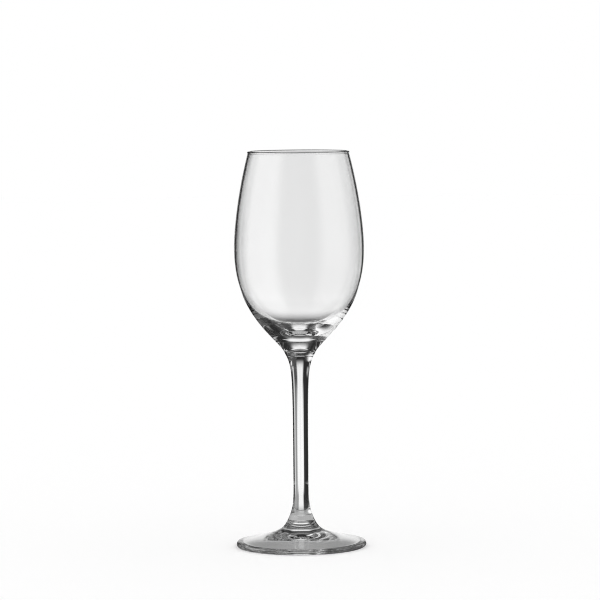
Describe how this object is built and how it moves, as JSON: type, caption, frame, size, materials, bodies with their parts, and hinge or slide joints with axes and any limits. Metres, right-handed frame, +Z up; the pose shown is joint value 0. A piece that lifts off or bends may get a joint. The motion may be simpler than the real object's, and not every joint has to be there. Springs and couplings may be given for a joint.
{
  "type": "sherry glass",
  "caption": "Clear stemmed sherry glass: a tapered tulip bowl with a thick base, a slender drawn stem and a round foot.",
  "frame": {"origin": "middle of the face that the glass stands on, on the stem's axis", "axes": "+Z up along the stem's axis, from the foot to the lip; the glass is round, so +X and +Y are free"},
  "size_m": [0.0624, 0.0624, 0.19],
  "materials": {
    "foot_glass": "clear pressed glass, polished",
    "stem_glass": "clear drawn glass, fire-polished",
    "bowl_glass": "clear blown glass, fire-polished lip"
  },
  "bodies": {
    "root": {"foot": "foot_glass", "stem": "stem_glass", "bowl": "bowl_glass"}
  },
  "joints": []
}
